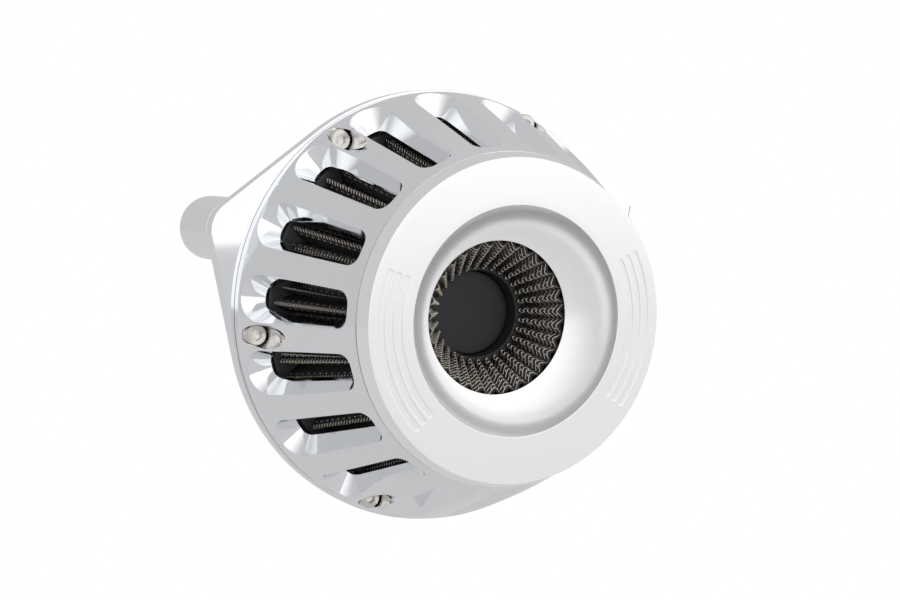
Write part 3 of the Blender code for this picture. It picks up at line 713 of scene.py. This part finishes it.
def groove_outline(radius, side):
    upright = math.pi / 2
    start, end = upright - side * GROOVE_TOP, upright - side * GROOVE_BOTTOM
    steps = 36
    points = [polar(radius + GROOVE_HALF, mix(start, end, i / steps)) for i in range(steps + 1)]
    cap = polar(radius, end)
    points += [cap + polar(GROOVE_HALF, end - side * math.pi * i / 10) for i in range(1, 10)]
    points += [polar(radius - GROOVE_HALF, mix(end, start, i / steps)) for i in range(steps + 1)]
    cap = polar(radius, start)
    turn = start + math.pi
    points += [cap + polar(GROOVE_HALF, turn - side * math.pi * i / 10) for i in range(1, 10)]
    return points


face = make_face_ring()
grooves = bmesh.new()
for radius in GROOVE_RADII:
    for side in (1, -1):
        floor = FACE_FRONT - GROOVE_DEPTH
        places = [place + Vector((0, 0, floor)) for place in groove_outline(radius, side)]
        base = grooves.faces.new([grooves.verts.new(place) for place in places])
        raised = bmesh.ops.extrude_face_region(grooves, geom=[base])["geom"]
        corners = [item for item in raised if isinstance(item, bmesh.types.BMVert)]
        bmesh.ops.translate(grooves, verts=corners, vec=(0, 0, GROOVE_DEPTH + MM))
cut(face, grooves, "grooves")
soften(face, 0.18 * MM, segments=2, angle=25)
settle(face, "cover", "polished_face", FACE_CHROME, "face_ring")

# %% [markdown]
# ## The backplate
# The plate is a disc with a lobe on each side for a breather post. Straight lines that touch both
# circles join them. It is a flat outline pulled up to its thickness, with the throttle boss and
# the ring that centres the element joined on, and then bored and drilled.

# %% Plate outline
PLATE_THICKNESS = 6.35 * MM
PLATE_BACK = PLATE_FRONT - PLATE_THICKNESS
PLATE_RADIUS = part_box("backplate")[0].z * -1
LOBE = middle("breather_post_right")
LOBE_RADIUS = (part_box("breather_post_right")[1].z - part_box("breather_post_right")[0].z) / 2
BORE_RADIUS = 26 * MM
BORE_FLARE = 4 * MM
BOSS_RADIUS = reach("throttle_gasket")
BOSS_BACK = levels("backplate")[0]


def plate_outline():
    rise = math.atan2(LOBE.y, LOBE.x)
    spread_angle = math.acos((PLATE_RADIUS - LOBE_RADIUS) / LOBE.length)
    right, left = rise, math.pi - rise
    arcs = [
        (polar(LOBE.length, right), LOBE_RADIUS, right - spread_angle, right + spread_angle, 30),
        (Vector(), PLATE_RADIUS, right + spread_angle, left - spread_angle, 48),
        (polar(LOBE.length, left), LOBE_RADIUS, left - spread_angle, left + spread_angle, 30),
        (Vector(), PLATE_RADIUS, left + spread_angle, right - spread_angle + math.tau, 110),
    ]
    points = []
    for centre, radius, start, end, steps in arcs:
        points += [centre + polar(radius, mix(start, end, i / steps)) for i in range(steps + 1)]
    return points


def pulled(outline, low, high):
    form = bmesh.new()
    base = form.faces.new([form.verts.new((place.x, place.y, low)) for place in outline])
    raised = bmesh.ops.extrude_face_region(form, geom=[base])["geom"]
    tops = [item for item in raised if isinstance(item, bmesh.types.BMVert)]
    bmesh.ops.translate(form, verts=tops, vec=(0, 0, high - low))
    return form


# %% Join and bore the plate
def make_plate():
    solid = pulled(plate_outline(), PLATE_BACK, PLATE_FRONT)
    plate = link("lobed_plate", clean_mesh(solid, "lobed_plate"))
    inside = PLATE_FRONT - PLATE_THICKNESS / 2
    boss = bmesh.new()
    inner = BORE_RADIUS - BORE_FLARE
    boss_profile = [
        (BOSS_RADIUS, inside),
        (BOSS_RADIUS, BOSS_BACK),
        (inner, BOSS_BACK),
        (inner, inside),
    ]
    spun(boss, boss_profile, 144)
    cut(plate, boss, "boss", "UNION")
    register = bmesh.new()
    outer, top = 61.5 * MM, levels("backplate")[1]
    within = outer - 3 * MM
    spun(register, [(outer, top), (outer, inside), (within, inside), (within, top)], 144)
    cut(plate, register, "register", "UNION")
    bore = bmesh.new()
    profile = [(0, PLATE_FRONT + BORE_FLARE), (BORE_RADIUS + BORE_FLARE, PLATE_FRONT + BORE_FLARE)]
    for step in range(13):
        turn = math.radians(90) * step / 12
        radius = BORE_RADIUS + BORE_FLARE * (1 - math.sin(turn))
        profile.append((radius, PLATE_FRONT - BORE_FLARE * (1 - math.cos(turn))))
    profile += [(BORE_RADIUS, BOSS_BACK - BORE_FLARE), (0, BOSS_BACK - BORE_FLARE)]
    spun(bore, profile, 144, closed=False)
    cut(plate, bore, "bore")
    holes = bmesh.new()
    for node in COVER_SCREWS:
        add_rod(holes, middle(node), 2.8 * MM, PLATE_BACK - MM, PLATE_FRONT + MM, 24)
    for number in range(3):
        centre = middle(f"throttle_screw_{number + 1}")
        add_rod(holes, centre, 3.5 * MM, BOSS_BACK - MM, PLATE_FRONT + MM, 32)
    for side in ("left", "right"):
        centre = middle(f"breather_post_{side}")
        add_rod(holes, centre, 8.3 * MM, PLATE_BACK - MM, PLATE_BACK + 4.4 * MM, 64)
    cut(plate, holes, "holes")
    return plate


plate = make_plate()
soften(plate, 0.45 * MM, segments=3, angle=40)
settle(plate, "backplate_group", "chrome", CHROME, "backplate")

# %% [markdown]
# ## The filter element
# Gauze is folded into pleats between two wire screens, and its ends are cast into urethane rings.
# From outside, what catches the light is the wire: strokes that cross each pleat's tip, joined by
# lengthwise wires that pass over one stroke and under the next. So the gauze is a plain folded
# band, and the wires are real wires, laid over the outer part of each fold.


# %% Pleat geometry
def fold(width, depth):
    """How far a fold falls away from its rounded tip, for a width from -0.5 to 0.5 of a pleat."""
    soft = 0.12
    drop = math.sqrt((2 * width) ** 2 + soft**2) - soft
    full = math.sqrt(1 + soft**2) - soft
    return depth * drop / full


class Pleats:
    """A ring of pleats. Its tips turn outwards, or inwards for a negative depth."""

    def __init__(self, count, depth, low, high, low_tip, high_tip):
        self.count = count
        self.depth = depth
        self.low = low
        self.high = high
        self.low_tip = low_tip
        self.high_tip = high_tip

    def place(self, pleat, width, share, lift=0.0):
        angle = math.tau * (pleat + width) / self.count
        side = 1 if self.depth > 0 else -1
        tip = mix(self.low_tip, self.high_tip, share)
        radius = tip - fold(width, self.depth) + side * lift
        return polar(radius, angle, mix(self.low, self.high, share))

    def slant(self):
        return math.hypot(self.high - self.low, self.high_tip - self.low_tip)


outer_low, outer_high = levels("filter_outer_pleats")
cone_low, cone_high = levels("filter_cone_pleats")
OUTER = Pleats(60, 8 * MM, outer_low, outer_high, 74.4 * MM, 59 * MM)
CONE = Pleats(31, -3.2 * MM, cone_low, cone_high, 18.2 * MM, 28.6 * MM)
print("outer slant mm:", round(OUTER.slant() / MM, 1))
print("cone slant mm:", round(CONE.slant() / MM, 1))


# %% Folded gauze
def make_gauze(name, pleats, node):
    widths = [-0.5, -0.36, -0.22, -0.1, 0, 0.1, 0.22, 0.36]
    form = bmesh.new()
    rings = []
    for share in (0, 1):
        rings.append([pleats.place(k, w, share) for k in range(pleats.count) for w in widths])
    verts = [[form.verts.new(place) for place in ring] for ring in rings]
    loops = [[form.edges.new((ring[i - 1], ring[i])) for i in range(len(ring))] for ring in verts]
    bmesh.ops.bridge_loops(form, edges=loops[0] + loops[1])
    mesh = bpy.data.meshes.new(name)
    bmesh.ops.transform(form, matrix=TO_ROW, verts=form.verts)
    form.to_mesh(mesh)
    form.free()
    mesh.shade_smooth()
    item = link(name, mesh)
    wall = item.modifiers.new("Gauze", "SOLIDIFY")
    wall.thickness = 0.9 * MM
    wall.offset = 0
    return settle(item, "filter_element", "meshed_media", GAUZE, node)


make_gauze("folded_gauze", OUTER, "filter_outer_pleats")
make_gauze("cone_gauze", CONE, "filter_cone_pleats")


# %% Wires over the folds
def draw_wires(name, runs, radius):
    """Thin wires through lists of places, drawn as one curve and made a mesh."""
    curve = bpy.data.curves.new(name, "CURVE")
    curve.dimensions = "3D"
    curve.bevel_depth = radius
    curve.bevel_resolution = 0
    curve.use_fill_caps = True
    for run in runs:
        spline = curve.splines.new("POLY")
        spline.points.add(len(run) - 1)
        for point, place in zip(spline.points, run):
            point.co = (*(TO_ROW @ place), 1)
    drawn = bpy.data.objects.new(name, curve)
    bpy.context.scene.collection.objects.link(drawn)
    bpy.context.view_layer.update()
    graph = bpy.context.evaluated_depsgraph_get()
    mesh = bpy.data.meshes.new_from_object(drawn.evaluated_get(graph))
    bpy.data.objects.remove(drawn, do_unlink=True)
    mesh.shade_smooth()
    return link(name, mesh)


def screen_runs(pleats, pitch, half, over):
    """Cross wires over each tip, and lengthwise wires that weave over and under them."""
    rows = int(pleats.slant() / pitch)
    runs = []
    for pleat in range(pleats.count):
        for row in range(rows):
            share = (row + 0.5) / rows
            widths = (-0.44, -0.3, -half, -half / 2, 0, half / 2, half, 0.3, 0.44)
            runs.append([pleats.place(pleat, width, share, over) for width in widths])
        for side in (-1, 1):
            run = []
            for step in range(2 * rows):
                share = (step + 0.5) / (2 * rows)
                up = math.sin(math.pi * (step / 2 + (side + 1) / 2))
                run.append(pleats.place(pleat, side * half, share, over * (1 + 1.1 * up)))
            runs.append(run)
    return runs


WIRE_RADIUS = 0.22 * MM
wires = draw_wires("outer_screen", screen_runs(OUTER, 1.75 * MM, 0.2, 0.65 * MM), WIRE_RADIUS)
settle(wires, "filter_element", "meshed_media", WIRE)
wires = draw_wires("cone_screen", screen_runs(CONE, 1.75 * MM, 0.2, 0.6 * MM), WIRE_RADIUS)
settle(wires, "filter_element", "meshed_media", WIRE)

# %% [markdown]
# ## Turned and moulded rings
# The rest of the element, the posts and the gasket are all rings. Each is its CAD profile again,
# spun finer and with its edges rounded. The seals keep their CAD meshes and get rubber.


# %% Turned pieces
def turn_piece(name, node, profile, body, slot, look, steps=96, edge=0.4 * MM, centre=None):
    form = bmesh.new()
    closed = all(radius > 0 for radius, _ in profile)
    spun(form, profile, steps, closed)
    if centre is not None:
        bmesh.ops.translate(form, verts=form.verts, vec=centre)
    item = link(name, clean_mesh(form, name))
    soften(item, edge, segments=3)
    return settle(item, body, slot, look, node)


def ring_profile(inner, outer, low, high):
    return [(outer, high), (outer, low), (inner, low), (inner, high)]


low, high = levels("filter_base_ring")
base = ring_profile(62 * MM, reach("filter_base_ring"), low, high)
cast = ("filter_element", "urethane", URETHANE)
turn_piece("base_ring", "filter_base_ring", base, *cast, 144, 1.2 * MM)

ring_low, ring_high = levels("filter_front_ring")
lip = MOUTH_LIP - REST_GAP
back = mouth_curve(MOUTH_WALL)
neck = min(radius for radius, height in back if height > ring_high) + 0.5 * MM
SLIP_GAP = 0.5 * MM
MEDIA_THICKNESS = 1.4 * MM
cone_edge = CONE.high_tip - CONE.depth + MEDIA_THICKNESS + SLIP_GAP
front = [
    (reach("filter_front_ring"), ring_high),
    (reach("filter_front_ring"), ring_low),
    (cone_edge, ring_low),
    (cone_edge, cone_high + REST_GAP),
    (MOUTH_RADIUS + 0.5 * MM, cone_high + REST_GAP),
    (MOUTH_RADIUS + 0.5 * MM, lip),
    (neck, lip),
    (neck, ring_high),
]
turn_piece("front_ring", "filter_front_ring", front, *cast, 144, 0.2 * MM)

DISC_RADIUS = 16.7 * MM
disc_low, disc_high = levels("filter_cone_disc")
floor_low, floor_high = levels("filter_cone_ring")
cone_floor = [
    (reach("filter_cone_ring"), floor_high),
    (reach("filter_cone_ring"), floor_low),
    (DISC_RADIUS / 2, floor_low),
    (DISC_RADIUS / 2, disc_low - REST_GAP),
    (17.3 * MM, disc_low - REST_GAP),
    (17.3 * MM, floor_high),
]
moulded = ("filter_element", "rubber", RUBBER)
turn_piece("cone_ring", "filter_cone_ring", cone_floor, *moulded, 96, 0.5 * MM)
disc = [(0, disc_high), (DISC_RADIUS, disc_high), (DISC_RADIUS, disc_low), (0, disc_low)]
turn_piece("cone_disc", "filter_cone_disc", disc, "filter_element", "dark_disc", DISC, 96, 0.4 * MM)

# %% [markdown]
# ## Posts, bolts and seals
# Each breather post is a hollow stand-off with a hollow bolt through it. Its spigot enters the
# plate, and a rubber ring seals round it.


# %% Both breather posts
SPIGOT_RADIUS = 8 * MM
GROOVE_INNER = 9.45 * MM
GROOVE_OUTER = 11.75 * MM
SEAL_CORD = 0.85 * MM
POST_HOLE = 5.06 * MM
POST_SINK = 6.5 * MM
BOLT_HEAD = 6.2 * MM
BOLT_HEAD_HEIGHT = 5 * MM
BOLT_SHANK = 4.76 * MM
BOLT_BORE = 2.2 * MM


def make_post(side):
    centre = middle(f"breather_post_{side}")
    back, top = levels(f"breather_post_{side}")
    front = PLATE_BACK - REST_GAP
    bolt_back, bolt_top = levels(f"breather_bolt_{side}")
    seat = bolt_top - BOLT_HEAD_HEIGHT
    groove = front - 2 * SEAL_CORD - REST_GAP
    post = [
        (SPIGOT_RADIUS, top),
        (SPIGOT_RADIUS, front),
        (GROOVE_INNER, front),
        (GROOVE_INNER, groove),
        (GROOVE_OUTER, groove),
        (GROOVE_OUTER, front),
        (LOBE_RADIUS, front),
        (LOBE_RADIUS, back),
        (POST_HOLE, back),
        (POST_HOLE, seat - REST_GAP),
        (POST_SINK, seat - REST_GAP),
        (POST_SINK, top),
    ]
    name = f"post_{side}"
    root = "backplate_group"
    turn_piece(name, f"breather_post_{side}", post, root, "chrome", CHROME, 96, 0.3 * MM, centre)
    bolt = [
        (BOLT_HEAD, bolt_top),
        (BOLT_HEAD, seat),
        (BOLT_SHANK, seat),
        (BOLT_SHANK, bolt_back),
        (BOLT_BORE, bolt_back),
        (BOLT_BORE, bolt_top),
    ]
    name = f"bolt_{side}"
    turn_piece(name, f"breather_bolt_{side}", bolt, root, "zinc_steel", ZINC, 64, 0.4 * MM, centre)


for side in ("left", "right"):
    make_post(side)
    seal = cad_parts[f"breather_seal_{side}"]
    seal.data.materials.clear()
    seal.data.materials.append(RUBBER)

# %% Gasket
low, high = levels("throttle_gasket")
gasket = bmesh.new()
spun(gasket, ring_profile(BORE_RADIUS, BOSS_RADIUS, low, high), 144)
gasket = link("gasket", clean_mesh(gasket, "gasket"))
holes = bmesh.new()
for number in range(3):
    add_rod(holes, middle(f"throttle_screw_{number + 1}"), 3.5 * MM, low - MM, high + MM, 32)
cut(gasket, holes, "gasket_holes")
soften(gasket, 0.2 * MM)
settle(gasket, "backplate_group", "rubber", RUBBER, "throttle_gasket")

# %% [markdown]
# ## Screws
# The cover screws are socket heads: a cylinder with a knurled side, a rounded top edge and a hex
# socket whose floor is the cone that the drill left. One function makes them all from the sizes of
# their nodes.


# %% Socket screws
def make_screw(node, head_radius, head_height, shank, key, slot, look, body, knurl):
    back, top = levels(node)
    seat = top - head_height
    form = bmesh.new()
    edge = head_height / 9
    profile = [(0, top), (head_radius - edge, top), (head_radius, top - edge)]
    profile += [(head_radius, seat), (shank, seat)]
    turns = 12
    pitch = (seat - back) / turns
    for turn in range(turns):
        level = seat - turn * pitch
        profile += [(shank, level - pitch * 0.45), (shank * 0.93, level - pitch * 0.75)]
    profile += [(shank * 0.85, back), (0, back)]
    spun(form, profile, 96, closed=False)
    if knurl:
        for vert in form.verts:
            radius = math.hypot(vert.co.x, vert.co.y)
            turn = round(math.atan2(vert.co.y, vert.co.x) / math.tau * 96)
            if turn % 2 and radius > head_radius - edge / 2:
                vert.co.xy *= 0.975
    bmesh.ops.translate(form, verts=form.verts, vec=middle(node))
    item = link(node + "_turned", clean_mesh(form, node))
    socket = bmesh.new()
    corners = key / math.cos(math.pi / 6)
    add_rod(socket, middle(node), corners, top - head_height * 0.5, top + MM, 6)
    cut(item, socket, "key")
    cone = bmesh.new()
    tip = Matrix.Translation(middle(node) + Vector((0, 0, top - head_height * 0.58)))
    bmesh.ops.create_cone(
        cone,
        cap_ends=True,
        segments=48,
        radius1=0,
        radius2=key,
        depth=head_height * 0.18,
        matrix=tip,
    )
    cut(item, cone, "drill_point")
    item.data.set_sharp_from_angle(angle=math.radians(35))
    return settle(item, body, slot, look, node)


COVER_SHANK = 2.5 * MM
THROTTLE_HEAD = 5.6 * MM
THROTTLE_HEIGHT = 3.4 * MM
THROTTLE_SHANK = 3.175 * MM
SCREW_KEY = 2 * MM
steel = ("stainless", STAINLESS, "cover_screws", True)
for node in COVER_SCREWS:
    make_screw(node, SCREW_HEAD, SCREW_HEIGHT, COVER_SHANK, SCREW_KEY, *steel)
plated = ("zinc_steel", ZINC, "backplate_group", False)
for number in range(3):
    node = f"throttle_screw_{number + 1}"
    make_screw(node, THROTTLE_HEAD, THROTTLE_HEIGHT, THROTTLE_SHANK, SCREW_KEY, *plated)
for node in FACE_SCREWS:
    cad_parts[node].data.materials.clear()
    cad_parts[node].data.materials.append(STAINLESS)

# %% [markdown]
# ## Camera
# The view is from a little above and to the left of the front, with a slight roll, and a lens a
# little longer than normal.

# %% Camera
CAMERA_AZIMUTH = math.radians(-26.125)
CAMERA_ELEVATION = math.radians(6.047)
CAMERA_ROLL = math.radians(-2.03)
CAMERA_DISTANCE = 657.3 * MM
CAMERA_AIM = Vector((4.84, -16.43, 2.45)) * MM
backwards = Vector(
    (
        math.sin(CAMERA_AZIMUTH) * math.cos(CAMERA_ELEVATION),
        -math.cos(CAMERA_AZIMUTH) * math.cos(CAMERA_ELEVATION),
        math.sin(CAMERA_ELEVATION),
    )
)
camera = bpy.data.objects.new("camera", bpy.data.cameras.new("camera"))
bpy.context.scene.collection.objects.link(camera)
camera.data.lens = 62.8
camera.data.sensor_width = 36
camera.location = CAMERA_AIM + backwards * CAMERA_DISTANCE
level_turn = (-backwards).to_track_quat("-Z", "Y").to_matrix().to_4x4()
roll = Matrix.Rotation(CAMERA_ROLL, 4, "Z")
camera.rotation_euler = (level_turn @ roll).to_euler()
bpy.context.scene.camera = camera
print("camera at", [round(value, 3) for value in camera.location])

# %% [markdown]
# ## Studio
# Chrome shows the room. The room here is a white tent: bright in front and to the right, and a good
# deal darker behind, so that turned metal shades from white to grey. The camera itself sees plain
# white around the filter.

# %% Tent and floor
TENT_FRONT = Vector((0.42, -0.88, 0.22))
TENT_DARK = 0.6
TENT_BRIGHT = 1.3
PAPER_GREY = 0.72


def make_tent():
    world = bpy.data.worlds.new("tent")
    world.use_nodes = True
    bpy.context.scene.world = world
    nodes, links = world.node_tree.nodes, world.node_tree.links
    place = nodes.new("ShaderNodeTexCoord")
    facing = nodes.new("ShaderNodeVectorMath")
    facing.operation = "DOT_PRODUCT"
    facing.inputs[1].default_value = TENT_FRONT.normalized()
    links.new(place.outputs["Generated"], facing.inputs[0])
    ramp = nodes.new("ShaderNodeMapRange")
    ramp.interpolation_type = "SMOOTHSTEP"
    ramp.inputs["From Min"].default_value = -0.3
    ramp.inputs["From Max"].default_value = 1.0
    ramp.inputs["To Min"].default_value = TENT_DARK
    ramp.inputs["To Max"].default_value = TENT_BRIGHT
    links.new(facing.outputs["Value"], ramp.inputs["Value"])
    seen = nodes.new("ShaderNodeLightPath")
    strength = nodes.new("ShaderNodeMix")
    links.new(seen.outputs["Is Camera Ray"], strength.inputs["Factor"])
    links.new(ramp.outputs["Result"], strength.inputs["A"])
    strength.inputs["B"].default_value = 1
    back = nodes["Background"]
    back.inputs["Color"].default_value = (1, 1, 1, 1)
    links.new(strength.outputs["Result"], back.inputs["Strength"])


def make_floor():
    """White paper: plain white to the camera, and a soft grey in the metal."""
    form = bmesh.new()
    bmesh.ops.create_circle(form, cap_ends=True, radius=6, segments=64)
    bmesh.ops.translate(form, verts=form.verts, vec=(0, 0, -0.36))
    mesh = bpy.data.meshes.new("floor")
    form.to_mesh(mesh)
    form.free()
    floor = link("floor", mesh)
    paper, shader = new_finish("paper", (PAPER_GREY, PAPER_GREY, PAPER_GREY), 0.9, 0)
    nodes, links = paper.node_tree.nodes, paper.node_tree.links
    seen = nodes.new("ShaderNodeLightPath")
    glow = nodes.new("ShaderNodeEmission")
    blend = nodes.new("ShaderNodeMixShader")
    links.new(seen.outputs["Is Camera Ray"], blend.inputs[0])
    links.new(shader.outputs[0], blend.inputs[1])
    links.new(glow.outputs[0], blend.inputs[2])
    out = next(node for node in nodes if node.bl_idname == "ShaderNodeOutputMaterial")
    links.new(blend.outputs[0], out.inputs["Surface"])
    floor.data.materials.append(paper)
    floor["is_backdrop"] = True


make_tent()
make_floor()


# %% [markdown]
# ## Display colours and size
# Plain display colours keep white paper white. The two boxes show that the fine meshes kept to the
# size of the imported model.

# %% Finish
bpy.context.scene.view_settings.view_transform = "Standard"
new_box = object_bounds()
corners = zip(cad_box, new_box)
print("grown by mm:", [[round((b - a) / MM, 2) for a, b in zip(*pair)] for pair in corners])
